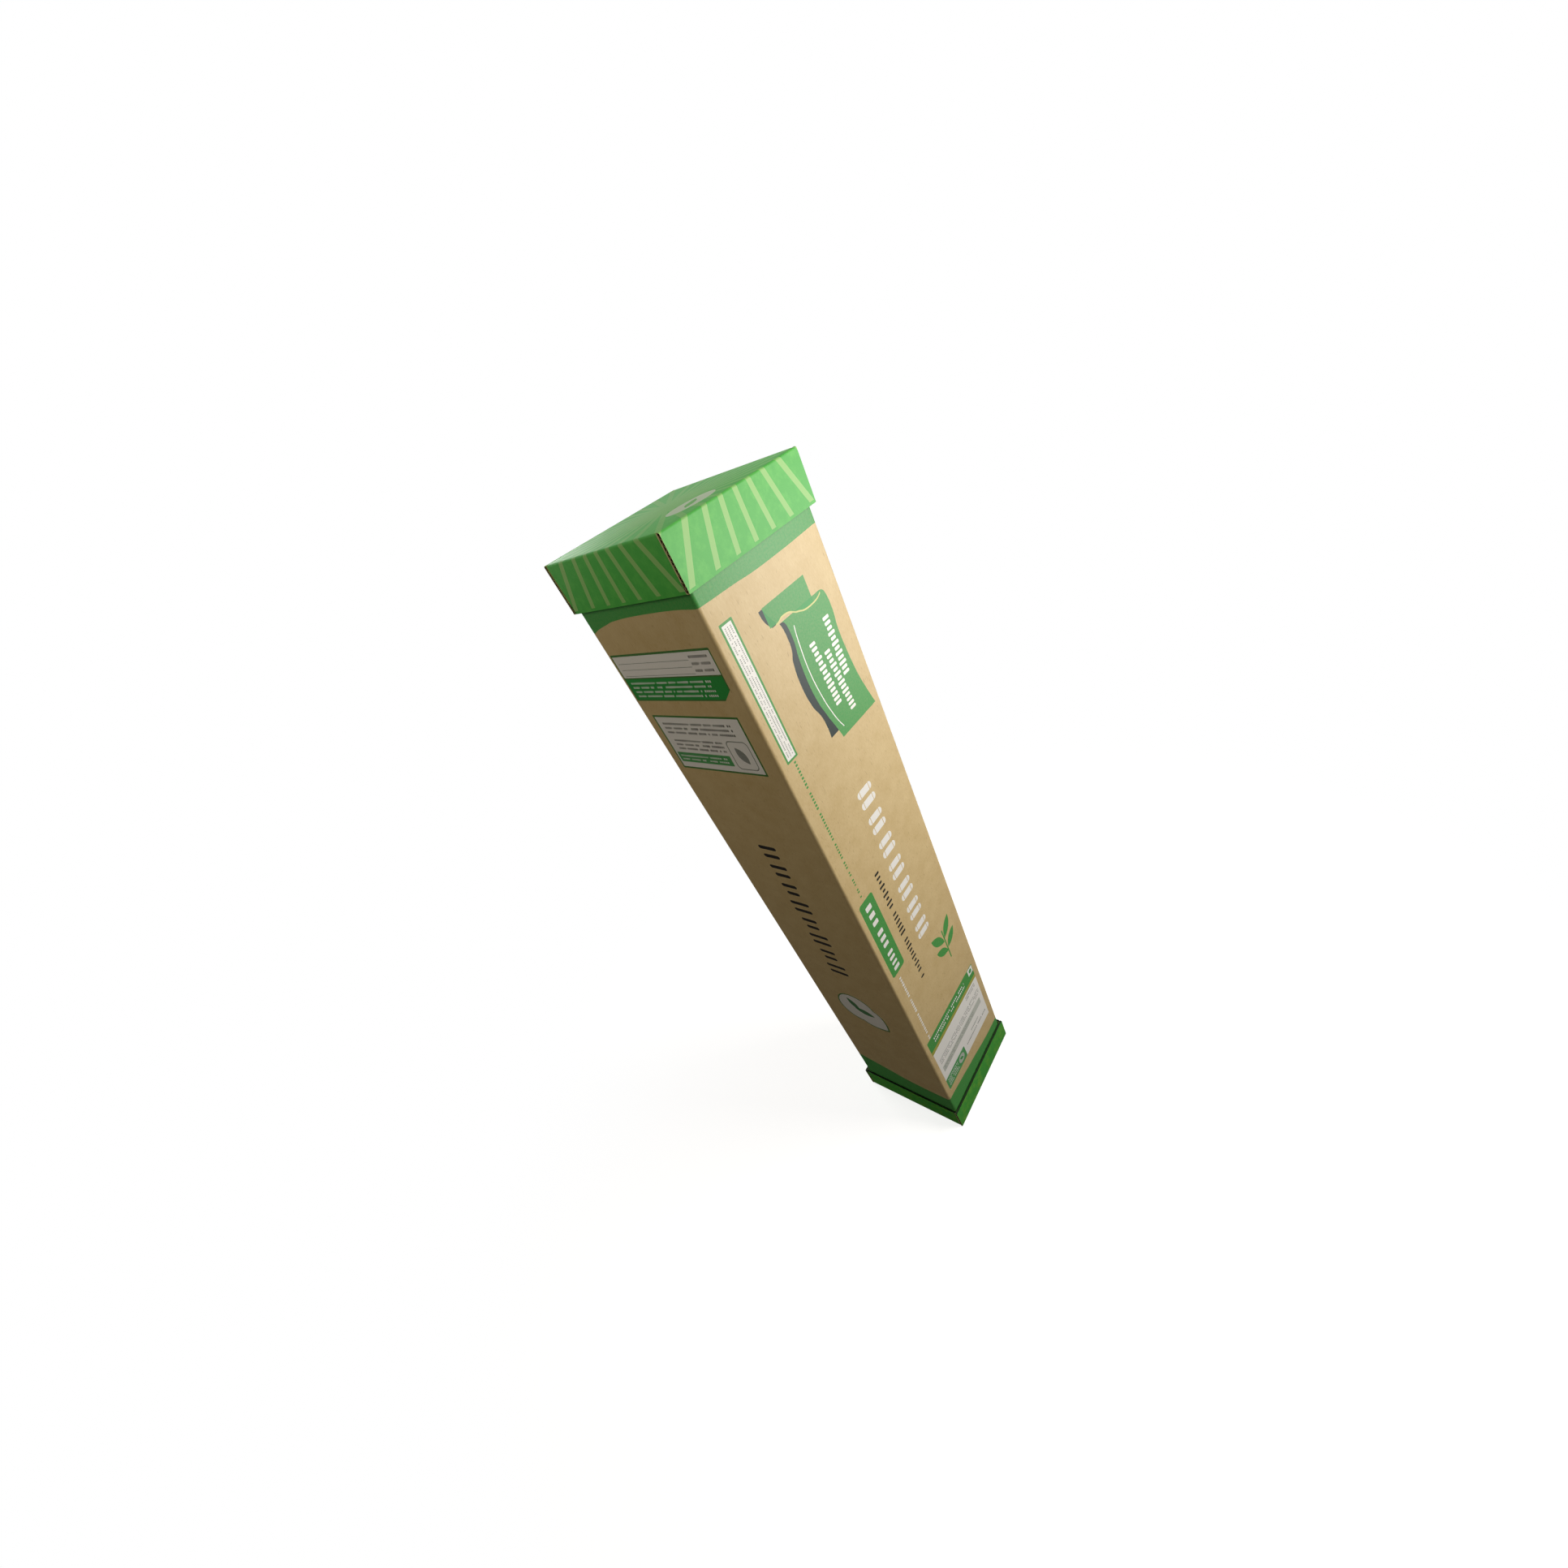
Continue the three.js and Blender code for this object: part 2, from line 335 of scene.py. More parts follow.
def makeCap(node, panelUp, settings, board):
    low, high = (Vector(corner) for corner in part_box(node))
    thick = board["thickness"]
    panel = high.z if panelUp else low.z
    rim = low.z if panelUp else high.z
    inward = -1 if panelUp else 1
    behind = (low.y + thick, high.y - thick)

    cap = block((low.x, behind[0], low.z), (high.x, behind[1], high.z))

    def sideFold(first, second):
        ends = (first, second)
        atSide = all(abs(abs(p.x) - high.x) < touch for p in ends)
        standing = abs(first.z - second.z) > touch
        return atSide and (standing or all(abs(p.z - panel) < touch for p in ends))
    pick(cap, "EDGE", sideFold)
    bpy.ops.mesh.bevel(offset=settings["fold"], segments=settings["foldSteps"], affect="EDGES")
    floor, over = span(panel + inward * thick, rim + inward * thick)
    room = block((low.x + thick, low.y - thick, floor), (high.x - thick, high.y + thick, over))
    combine(cap, room, "DIFFERENCE")
    for side in (-1, 1):
        hollowEnd(cap, board, lambda c, n: abs(c.z - rim) < touch and abs(n.z) > square and c.x * side > 0,
                  (0, 0, -inward * settings["openFlutes"]))

    additions = []
    for side in (-1, 1):
        outer = high.y if side > 0 else low.y
        inner = behind[1] if side > 0 else behind[0]
        y0, y1 = span(outer, inner)
        wall = block((low.x, y0, low.z), (high.x, y1, high.z))
        pick(wall, "EDGE", lambda a, b: all(abs(p.z - panel) < touch and abs(p.y - outer) < touch
                                            for p in (a, b)))
        bpy.ops.mesh.bevel(offset=settings["fold"], segments=settings["foldSteps"], affect="EDGES")
        for end in (-1, 1):
            hollowEnd(wall, board, lambda c, n: abs(n.x) > square and c.x * end > high.x - touch,
                      (-end * settings["openFlutes"], 0, 0))
        additions.append(wall)
        for end in (-1, 1):
            x0, x1 = span(end * (high.x - settings["fold"]), end * (high.x - thick - settings["tabLength"]))
            t0, t1 = span(inner, inner - side * settings["lapThickness"])
            relief = settings["tabRelief"]
            z0, z1 = span(panel + inward * (thick + relief), rim - inward * relief)
            tab = block((x0, t0, z0), (x1, t1, z1))
            pick(tab, "FACE", lambda c, n: n.x * -end > square)
            bpy.ops.transform.resize(value=(1, 1, settings["tabTaper"]))
            additions.append(tab)
    for addition in additions:
        combine(cap, addition, "UNION")

    # fluting seen in the raw ends of the front and back walls and in the side walls' rims
    strips = []
    inset = settings["openFlutes"] - board["medium"]
    tall = abs(rim - panel) - settings["fold"] - 2 * board["liner"]
    for side in (-1, 1):
        for end in (-1, 1):
            strip = fluteStrip((0, 0, 0), (tall, 0, 0), 0, inset, board)
            turn = Matrix(((0, 0, end), (0, 1, 0), (-1, 0, 0))).to_4x4()
            x = end * (high.x - settings["openFlutes"] + board["medium"] / 2)
            y = side * (high.y - thick / 2)
            z = (panel - settings["fold"] if panelUp else rim) - board["liner"]
            strip.matrix_world = Matrix.Translation((x, y, z)) @ turn
            bpy.ops.object.transform_apply(location=True, rotation=True, scale=True)
            strips.append(strip)
        x = side * (high.x - thick / 2)
        bottom, top = span(rim - inward * board["sunk"], rim - inward * inset)
        edge = settings["fold"] + board["liner"]
        strips.append(fluteStrip((x, behind[0] + edge, 0), (x, behind[1] - edge, 0), bottom, top, board))
    joinAll(cap, strips)
    return cap


lid = makeCap("lid", True, capSettings, boardSettings)
tray = makeCap("base_tray", False, capSettings, boardSettings)
print("lid and tray folded")


# The foil bag, turned over the inner box's rim and hanging down inside as a cuff

bagSettings = {
    "film": 0.4 * mm,
    "corner": 1.1 * mm,
    "cornerSteps": 3,
    "cuffHalf": 96.1 * mm,
    "cuffLength": 110.0 * mm,
    "cuffSteps": 14,
    "tautTop": 4.0 * mm,  # this much under the rim stays flat
    "flatWall": 0.999,  # leaves the rounded corners out of the cutting
    "cuts": 18,
    "crinkle": 1.5 * mm,
    "crinkleScale": 16.0 * mm,
    "crinkleDepth": 3,
}


def makeBag(settings):
    low, high = (Vector(corner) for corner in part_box("barrier_bag"))
    near = 0.05 * mm
    bag = block(low, high)
    pick(bag, "FACE", lambda c, n: n.z > square)
    bpy.ops.mesh.delete(type="ONLY_FACE")
    pick(bag, "EDGE", lambda a, b: abs(a.z - b.z) > near)
    bpy.ops.mesh.bevel(offset=settings["corner"], segments=settings["cornerSteps"], affect="EDGES")
    pick(bag, "FACE", lambda c, n: max(abs(n.x), abs(n.y)) > settings["flatWall"])
    bpy.ops.mesh.subdivide(number_cuts=settings["cuts"])
    pick(bag, "EDGE", lambda a, b: min(a.z, b.z) > high.z - near)
    bpy.ops.mesh.extrude_edges_move(TRANSFORM_OT_translate={"value": (0, 0, 0)})
    shrink = settings["cuffHalf"] / high.x
    bpy.ops.transform.resize(value=(shrink, shrink, 1), center_override=(0, 0, high.z))
    for step in range(settings["cuffSteps"]):
        drop = settings["cuffLength"] / settings["cuffSteps"]
        bpy.ops.mesh.extrude_edges_move(TRANSFORM_OT_translate={"value": (0, 0, -drop)})
    selectNothing()
    cuff = bag.vertex_groups.new(name="cuff")
    inside = settings["cuffHalf"] + near
    flat = high.z - settings["tautTop"]
    loose = [max(abs(v.co.x), abs(v.co.y)) < inside and low.z + near < v.co.z < flat
             for v in bag.data.vertices]
    cuff.add([index for index, free in enumerate(loose) if free], 1.0, "REPLACE")
    creases = bpy.data.textures.new("filmCreases", "CLOUDS")
    creases.noise_scale = settings["crinkleScale"]
    creases.noise_depth = settings["crinkleDepth"]
    modify(bag, "DISPLACE", texture=creases, texture_coords="LOCAL", strength=settings["crinkle"],
           mid_level=0.0, vertex_group="cuff")
    bag.vertex_groups.clear()
    modify(bag, "SOLIDIFY", thickness=settings["film"], offset=-1.0, use_even_offset=True)
    return bag


bag = makeBag(bagSettings)
print("bag folded over the rim")


# Print, in mm on the flat blank: across from the front left fold, down from the box's top

# a mark whose ink is "kraft" leaves the paper bare instead
inks = {
    "green": "#2f9a45",
    "white": "#faf9f6",
    "black": "#1d1b18",
    "grey": "#858a84",
    "paleGrey": "#c6cbc3",
    "yellow": "#ddd88c",
    "slate": "#10231d",
    "darkGreen": "#24702f",
    "olive": "#a7a847",
}

bandEdges = {
    "top": [(-222, 94), (-202, 87), (-182, 83), (-155, 79), (-105, 77), (-55, 77), (0, 80), (60, 82),
            (111, 84), (222, 82), (320, 79), (444, 85), (560, 81), (666, 94)],
    "bottom": [(-222, 1117), (-150, 1131), (-60, 1146), (0, 1147), (50, 1152), (110, 1160), (222, 1170),
               (330, 1158), (444, 1140), (560, 1149), (666, 1117)],
}

bannerEdges = {
    "left": [(150, 100), (157, 107), (173, 108), (200, 104), (230, 102), (253, 103), (287, 110), (317, 119),
             (333, 123)],
    "right": [(150, 181), (162, 192), (180, 193), (207, 190), (240, 191), (277, 195), (300, 200),
              (333, 209)],
    "shade": [(150, 97), (173, 100), (200, 92), (230, 89), (260, 92), (300, 102), (319, 101)],
    "roll": [(81, 147), (95, 147), (107, 144), (133, 152), (157, 157), (182, 152)],
    "curlLeft": [(123, 74), (135, 76), (147, 84)],
    "curlRight": [(123, 81), (135, 86), (149, 95)],
    "thinLine": [(160, 118), (190, 113), (225, 111), (260, 114), (290, 120), (322, 132)],
}


def field(ink, edges, along, reach):
    return {"ink": ink, "field": edges, "along": along, "range": reach}


def bar(ink, box, corner):
    return {"ink": ink, "box": box, "round": corner}


def leaf(ink, place, turn):
    return {"ink": ink, "leaf": place, "turn": turn}


def strokes(ink, cells, pitch, size, **more):
    return {"ink": ink, "cells": cells, "pitch": pitch, "size": size, **more}


def shifted(edge, across):
    return [(down, place + across) for down, place in edge]


# a field lies between two edges, strokes stand in the cells of a grid, a leaf has a middle, length and width
wholeTube = (-222, 666)
pastFoot = 1300
printMarks = [
    field("green", (0, bandEdges["top"]), "across", wholeTube),
    field("green", (bandEdges["bottom"], pastFoot), "across", wholeTube),

    # front, narrow label and the thin line of strokes under it
    bar("green", (14, 107, 36, 296), 1),
    bar("white", (17, 110, 33, 293), 0.5),
    strokes("grey", (18.5, 113, 32, 290), (4.4, 2.2), (1.9, 1.5), gaps=0.18),
    strokes("green", (23, 298, 30, 558), (7, 5.2), (4.6, 3.4), gaps=0.16),

    # front, banner with its roll, shade and columns of strokes
    field("slate", (bannerEdges["shade"], bannerEdges["left"]), "down", (150, 318)),
    field("green", (bannerEdges["left"], bannerEdges["right"]), "down", (150, 332)),
    field("slate", (bannerEdges["curlLeft"], bannerEdges["curlRight"]), "down", (123, 148)),
    field("yellow", (bannerEdges["roll"], shifted(bannerEdges["roll"], 2)), "across", (92, 182)),
    field("green", (122, bannerEdges["roll"]), "across", (81, 165)),
    field("white", (bannerEdges["thinLine"], shifted(bannerEdges["thinLine"], 1.6)), "down", (163, 320)),
    strokes("white", (166, 180, 184, 264), (18, 7.1), (16.5, 4.6), round=1.8, gaps=0.08, vary=(-3, 0)),
    strokes("white", (146, 217, 163, 311), (17, 6.8), (15.5, 4.4), round=1.8, gaps=0.08, vary=(-3, 0),
            lean=(217, 0, 310, 8)),
    strokes("white", (126, 195, 143, 289), (17, 6.8), (15.5, 4.4), round=1.8, gaps=0.08, vary=(-3, 0),
            lean=(195, 0, 288, 5)),

    # front, long row of lamp pictograms, dark strokes, green plate, white strokes and a sprig
    strokes("white", (101, 411, 137, 761), (36, 50), (36, 12.5), round=6, vary=(0, 0), shift=(0, -11)),
    strokes("white", (101, 411, 137, 761), (36, 50), (36, 12.5), round=6, vary=(0, 0), shift=(0, 9)),
    strokes("kraft", (101, 411, 137, 761), (36, 350), (1.3, 350), round=0.1, vary=(0, 0), shift=(-11.5, 0)),
    strokes("kraft", (101, 411, 137, 761), (36, 350), (1.3, 350), round=0.1, vary=(0, 0), shift=(11.5, 0)),
    strokes("black", (64, 550, 83, 825), (19, 9.4), (17, 4.2), round=1.6, gaps=0.17, vary=(-5, 0)),
    bar("green", (12, 567, 49, 745), 5),
    strokes("white", (21, 577, 39, 628), (18, 17), (16, 12), round=2, vary=(-1, -1.5)),
    strokes("white", (21, 636, 39, 681), (18, 15), (16, 11), round=2, vary=(-1, -1.5)),
    strokes("white", (21, 689, 39, 739), (18, 12.5), (16, 9), round=2, vary=(-1, -1.5)),
    strokes("white", (21, 757, 29, 952), (8, 6.5), (5.5, 4.4), gaps=0.16),
    leaf("green", (141, 806, 50, 19), 48),
    leaf("green", (176, 800, 46, 18), -52),
    leaf("green", (143, 838, 42, 17), 38),
    leaf("green", (178, 832, 42, 17), -40),
    field("green", (158.4, 161.6), "down", (796, 873)),

    # front, lower label
    bar("green", (12, 953, 204, 986), 1),
    strokes("white", (32, 961, 163, 979), (4.6, 9), (3.2, 5.4), gaps=0.16),
    bar("white", (185, 955, 203, 973), 1),
    bar("green", (189, 959, 199, 969), 4.5),
    bar("olive", (12, 986, 204, 995), 0.3),
    bar("white", (14, 995, 204, 1127), 0.3),
    strokes("grey", (152, 1000, 192, 1013), (3.2, 6.5), (2.2, 4), gaps=0.14),
    strokes("grey", (22, 1026, 197, 1044), (3.1, 6), (2, 3.4), gaps=0.16),
    bar("paleGrey", (22, 1053, 192, 1070), 0.5),
    strokes("grey", (26, 1056, 160, 1067), (3.4, 5.5), (2, 3), gaps=0.2),
    strokes("grey", (133, 1086, 167, 1094), (3.2, 8), (2.2, 4.6), gaps=0.1),
    strokes("grey", (107, 1099, 197, 1109), (3.2, 10), (2.2, 5), gaps=0.14),
    bar("green", (14, 1092, 96, 1127), 3),
    strokes("white", (20, 1097, 62, 1122), (3.6, 6.2), (2.4, 3.2), gaps=0.16),
    bar("paleGrey", (67, 1098, 89, 1120), 10.5),
    leaf("green", (78, 1109, 15, 7), 40),
    strokes("yellow", (15, 1128, 96, 1137), (4, 9), (2.6, 4.2), vary=(0, -0.6)),

    # left, upper label
    bar("darkGreen", (-215, 123, -15, 192), 1.5),
    bar("white", (-213, 126, -17, 157), 0.5),
    strokes("grey", (-208, 129, -60, 156), (150, 9), (148, 0.7), round=0.3, vary=(0, 0), shift=(0, 3)),
    strokes("black", (-58, 128, -24, 155), (3.4, 9), (2.3, 4), gaps=0.15),
    bar("green", (-213, 159, -17, 190), 0.5),
    strokes("white", (-206, 162, -40, 188), (3.6, 6.5), (2.4, 3.5), gaps=0.16),
    field("kraft", ([(-34, 193), (-14, 176)], 194), "across", (-34, -14)),

    # left, second label
    bar("darkGreen", (-203, 215, -28, 306), 1),
    bar("white", (-200, 218, -31, 303), 1),
    strokes("black", (-190, 225, -49, 247), (3.8, 7.2), (2.6, 4), gaps=0.15),
    strokes("black", (-186, 253, -85, 274), (3.8, 6.8), (2.6, 3.8), gaps=0.15),
    bar("green", (-197, 277, -84, 294), 1),
    strokes("white", (-192, 280, -92, 292), (4, 6), (2.6, 3.2), gaps=0.15),
    bar("grey", (-78, 252, -37, 298), 8),
    bar("white", (-76.5, 253.5, -38.5, 296.5), 7),
    leaf("grey", (-57.5, 275, 30, 15), 60),

    # left, long row of black lamp pictograms and the pale badge
    strokes("black", (-142, 443, -95, 782), (47, 42.4), (44, 7.5), round=3.7, vary=(-6, 0), shift=(0, -11)),
    strokes("black", (-142, 443, -95, 782), (47, 42.4), (44, 7.5), round=3.7, vary=(-9, 0), shift=(0, 7)),
    bar("darkGreen", (-171, 844, -83, 930), 42),
    leaf("darkGreen", (-103, 905, 92, 70), 42),
    bar("white", (-168.5, 846.5, -85.5, 927.5), 40),
    leaf("white", (-104, 904, 86, 66), 42),
    leaf("darkGreen", (-132, 876, 40, 15), 60),
    leaf("darkGreen", (-112, 893, 44, 16), 12),
]


def edgeCurve(tree, along, edge):
    if not isinstance(edge, list):
        return edge
    start, end = edge[0][0], edge[-1][0]
    least = min(p[1] for p in edge) - 1
    most = max(p[1] for p in edge) + 1
    part = addNode(tree, "MapRange", {}, {"Value": along, "From Min": start, "From Max": end})
    curve = addNode(tree, "FloatCurve", {}, {"Value": part})
    points = curve.mapping.curves[0].points
    for index, (place, value) in enumerate(edge):
        at = ((place - start) / (end - start), (value - least) / (most - least))
        if index == 0:
            points[0].location = at
        elif index == len(edge) - 1:
            points[len(points) - 1].location = at
        else:
            points.new(*at)
    curve.mapping.update()
    return addNode(tree, "MapRange", {"clamp": False}, {"Value": curve, "To Min": least, "To Max": most})


def fieldMask(tree, value, along, mark):
    low, high = (edgeCurve(tree, along, edge) for edge in mark["field"])
    start, end = mark["range"]
    parts = [
        addNode(tree, "Math", "GREATER_THAN", (value, low)),
        addNode(tree, "Math", "LESS_THAN", (value, high)),
        addNode(tree, "Math", "COMPARE", (along, (start + end) / 2, (end - start) / 2)),
    ]
    mask = parts[0]
    for part in parts[1:]:
        mask = addNode(tree, "Math", "MULTIPLY", (mask, part))
    return mask


def roundedMask(tree, place, half, radius):
    folded = addNode(tree, "VectorMath", "ABSOLUTE", (place,))
    past = addNode(tree, "VectorMath", "SUBTRACT", (folded, half))
    outside = addNode(tree, "VectorMath", "MAXIMUM", (past, (0, 0, 0)))
    distance = addNode(tree, "VectorMath", "LENGTH", (outside,)).outputs["Value"]
    return addNode(tree, "Math", "LESS_THAN", (distance, radius))


def boxMask(tree, place, box, radius):
    middle = ((box[0] + box[2]) / 2, (box[1] + box[3]) / 2, 0)
    half = ((box[2] - box[0]) / 2 - radius, (box[3] - box[1]) / 2 - radius, 0)
    moved = addNode(tree, "VectorMath", "SUBTRACT", (place, middle))
    return roundedMask(tree, moved, half, radius)


strokeChance = {"steps": (1.37, 53.1, 0), "shorter": 0.1, "thinner": 0.12, "corner": 0.2, "sharp": 0.01}


def cellMask(tree, place, down, mark):
    # each cell of a grid holds one rounded stroke; a chance number per cell trims it or leaves it out
    left, top, right, bottom = mark["cells"]
    pitch, size = mark["pitch"], mark["size"]
    radius = mark.get("round", min(size) * strokeChance["corner"])
    vary = mark.get("vary", (-size[0] * strokeChance["shorter"], -size[1] * strokeChance["thinner"]))
    shift = mark.get("shift", (0, 0))
    if "lean" in mark:
        start, before, end, after = mark["lean"]
        drift = addNode(tree, "MapRange", {}, {"Value": down, "From Min": start, "From Max": end,
                                               "To Min": before, "To Max": after})
        offset = addNode(tree, "CombineXYZ", {}, (drift,))
        place = addNode(tree, "VectorMath", "SUBTRACT", (place, offset))
    moved = addNode(tree, "VectorMath", "SUBTRACT", (place, (left, top, 0)))
    scaled = addNode(tree, "VectorMath", "DIVIDE", (moved, (*pitch, 1)))
    cell = addNode(tree, "VectorMath", "FLOOR", (scaled,))
    number = addNode(tree, "VectorMath", "DOT_PRODUCT", (cell, strokeChance["steps"])).outputs["Value"]
    chance = addNode(tree, "TexWhiteNoise", {"noise_dimensions": "1D"}, {"W": number}).outputs["Value"]
    local = addNode(tree, "VectorMath", "FRACTION", (scaled,))
    centred = addNode(tree, "VectorMath", "MULTIPLY_ADD",
                      (local, (*pitch, 1), (-pitch[0] / 2 - shift[0], -pitch[1] / 2 - shift[1], 0)))
    spread = addNode(tree, "VectorMath", "SCALE", {"Vector": (*vary, 0), "Scale": chance})
    half = addNode(tree, "VectorMath", "ADD", (spread, (size[0] / 2 - radius, size[1] / 2 - radius, 0)))
    stroke = roundedMask(tree, centred, half, radius)
    present = addNode(tree, "Math", "GREATER_THAN", (chance, mark.get("gaps", -1)))
    inside = boxMask(tree, place, mark["cells"], strokeChance["sharp"])
    kept = addNode(tree, "Math", "MULTIPLY", (stroke, present))
    return addNode(tree, "Math", "MULTIPLY", (kept, inside))


def leafMask(tree, place, mark):
    # two arcs that meet in points: an ellipse whose width falls off towards its tips
    across, down, length, width = mark["leaf"]
    turn = math.radians(mark["turn"])
    lengthwise = (2 / length * math.cos(turn), 2 / length * math.sin(turn), 0)
    crosswise = (-2 / width * math.sin(turn), 2 / width * math.cos(turn), 0)
    moved = addNode(tree, "VectorMath", "SUBTRACT", (place, (across, down, 0)))
    x = addNode(tree, "VectorMath", "DOT_PRODUCT", (moved, lengthwise)).outputs["Value"]
    y = addNode(tree, "VectorMath", "DOT_PRODUCT", (moved, crosswise)).outputs["Value"]
    long = addNode(tree, "Math", "MULTIPLY", (x, x))
    wide = addNode(tree, "Math", "ABSOLUTE", (y,))
    total = addNode(tree, "Math", "ADD", (long, wide))
    return addNode(tree, "Math", "LESS_THAN", (total, 1.0))


def markMask(tree, place, across, down, mark):
    if "field" in mark:
        if mark["along"] == "across":
            return fieldMask(tree, down, across, mark)
        return fieldMask(tree, across, down, mark)
    if "box" in mark:
        return boxMask(tree, place, mark["box"], mark["round"])
    if "cells" in mark:
        return cellMask(tree, place, down, mark)
    return leafMask(tree, place, mark)


# Paper: kraft liner with clouds, fibres and flecks, and the washboard of the fluting under it

paperSettings = {
    "light": "#ddc695",
    "dark": "#cfb581",
    "fleck": "#8c6a42",
    "cloud": 26.0,
    "fibre": (1.0, 1.0, 6.0),
    "mix": (0.7, 1.3),
    "fleckSize": 1.6,
    "fleckShare": 0.70,
    "fleckEdge": 0.05,
    "fleckDepth": 0.35,
}


def millimetres(tree):
    place = addNode(tree, "TexCoord", {}).outputs["Object"]
    return addNode(tree, "VectorMath", "SCALE", {"Vector": place, "Scale": 1000.0})


def kraftColour(tree, place, settings):
    clouds = addNode(tree, "TexNoise", {}, {"Vector": place, "Scale": 1 / settings["cloud"], "Detail": 5.0,
                                            "Roughness": 0.6})
    drawn = addNode(tree, "Mapping", {"vector_type": "TEXTURE"},
                    {"Vector": place, "Scale": settings["fibre"]})
    fibres = addNode(tree, "TexNoise", {}, {"Vector": drawn, "Scale": 1.0, "Detail": 3.0})
    both = addNode(tree, "Math", "ADD", (clouds, fibres))
    least, most = settings["mix"]
    share = addNode(tree, "MapRange", {}, {"Value": both, "From Min": least, "From Max": most})
    paper = addNode(tree, "Mix", colourMix,
                    {0: share, 6: linear(settings["dark"]), 7: linear(settings["light"])}).outputs[2]
    specks = addNode(tree, "TexNoise", {}, {"Vector": drawn, "Scale": 1 / settings["fleckSize"],
                                            "Detail": 1.0})
    full = settings["fleckShare"] + settings["fleckEdge"]
    strong = addNode(tree, "MapRange", {}, {"Value": specks, "From Min": settings["fleckShare"],
                                            "From Max": full, "To Max": settings["fleckDepth"]})
    return addNode(tree, "Mix", colourMix, {0: strong, 6: paper, 7: linear(settings["fleck"])}).outputs[2]


def blankPlace(tree, place, half, top):
    # unfolds the four panels onto one flat sheet: left panel, front, right, back
    x, y, z = addNode(tree, "SeparateXYZ", {}, (place,)).outputs
    front = addNode(tree, "Math", "ADD", (x, half))
    rear = addNode(tree, "Math", "SUBTRACT", (5 * half, x))
    left = addNode(tree, "Math", "SUBTRACT", (-half, y))
    right = addNode(tree, "Math", "ADD", (y, 3 * half))
    behind = addNode(tree, "Math", "GREATER_THAN", (y, 0.0))
    frontOrRear = addNode(tree, "MapRange", {}, {"Value": behind, "To Min": front, "To Max": rear})
    rightward = addNode(tree, "Math", "GREATER_THAN", (x, 0.0))
    leftOrRight = addNode(tree, "MapRange", {}, {"Value": rightward, "To Min": left, "To Max": right})
    sizeX = addNode(tree, "Math", "ABSOLUTE", (x,))
    sizeY = addNode(tree, "Math", "ABSOLUTE", (y,))
    facing = addNode(tree, "Math", "GREATER_THAN", (sizeY, sizeX))
    across = addNode(tree, "MapRange", {},
                     {"Value": facing, "To Min": leftOrRight, "To Max": frontOrRear})
    down = addNode(tree, "Math", "SUBTRACT", (top, z))
    outer = addNode(tree, "Math", "MAXIMUM", (sizeX, sizeY))
    return across, down, outer


printSettings = {
    "half": 111.0,
    "top": 1247.0,
    "outside": 108.6,  # nearer the middle than this is the unprinted inside
    "wear": 3.0,
    "worn": (0.3, 0.7),
    "hold": (0.86, 0.99),  # how much of the ink is left at either end of the wear
    "flute": 7.8,
    "grain": 0.9,
    "grainShare": 0.6,
    "relief": (0.5, 0.03 * mm),
    "surface": {"Roughness": 0.5, "Specular IOR Level": 0.2},
}
flatInks = ("kraft", "slate", "black", "white")  # these hide the wear


def printedBoard(settings):
    # warm brown liner with clouds and flecks, worn flat inks and the faint upright ribs of the fluting
    material, tree, shader = newMaterial("printedKraftBoard")
    place = millimetres(tree)
    across, down, outer = blankPlace(tree, place, settings["half"], settings["top"])
    sheet = addNode(tree, "CombineXYZ", {}, (across, down))
    paper = kraftColour(tree, place, paperSettings)
    wear = addNode(tree, "TexNoise", {}, {"Vector": place, "Scale": 1 / settings["wear"], "Detail": 6.0,
                                          "Roughness": 0.7})
    (low, high), (least, most) = settings["worn"], settings["hold"]
    hold = addNode(tree, "MapRange", {}, {"Value": wear, "From Min": low, "From Max": high,
                                          "To Min": least, "To Max": most})
    colour = paper
    for mark in printMarks:
        mask = markMask(tree, sheet, across, down, mark)
        over = paper if mark["ink"] == "kraft" else linear(inks[mark["ink"]])
        if mark["ink"] not in flatInks:
            mask = addNode(tree, "Math", "MULTIPLY", (mask, hold))
        colour = addNode(tree, "Mix", colourMix, {0: mask, 6: colour, 7: over}).outputs[2]
    outside = addNode(tree, "Math", "GREATER_THAN", (outer, settings["outside"]))
    colour = addNode(tree, "Mix", colourMix, {0: outside, 6: paper, 7: colour}).outputs[2]
    ridges = ribs(tree, across, settings["flute"])
    grain = addNode(tree, "TexNoise", {}, {"Vector": place, "Scale": settings["grain"], "Detail": 4.0})
    height = addNode(tree, "Math", "MULTIPLY_ADD", (grain, settings["grainShare"], ridges))
    dress(tree, shader, colour, height, settings["relief"], settings["surface"])
    return material


# each flutes colour is painted shade: near-black laid on the raw ends and slots of the open flutes, where
# shadow falls
capInks = {
    "lid": {"material": "greenInkedLidBoard", "ground": "#4fb449", "patch": "#5fc052", "flutes": "#2c1d13"},
    "base_tray": {"material": "greenInkedTrayBoard", "ground": "#46a83e", "patch": "#6fb83e",
                  "flutes": "#161d12"},
}

inkedSettings = {
    "mottle": 14.0,
    "patches": (0.45, 0.68),
    "skin": 0.3,  # the ink lies this deep at most
    "endFacing": 0.95,
    "reveal": 0.05,  # the shade stops this far outside a wall's inner face
    "crack": "#e3d3ae",
    "crackBand": (4.9, 0.75, 1.6),  # behind the outer face, half its width, how deep
    # the rim's dark colour is partly ink stain and partly painted shade
    "inkStainAndShade": "#1d3319",
    "stainAndShadeDepth": 0.8,
    "slotExtra": 0.5,  # and this far past the bottom of the open flutes
    "grain": 0.9,
    "relief": (0.5, 0.02 * mm),
    "surface": {"Roughness": 0.55, "Specular IOR Level": 0.2},
}

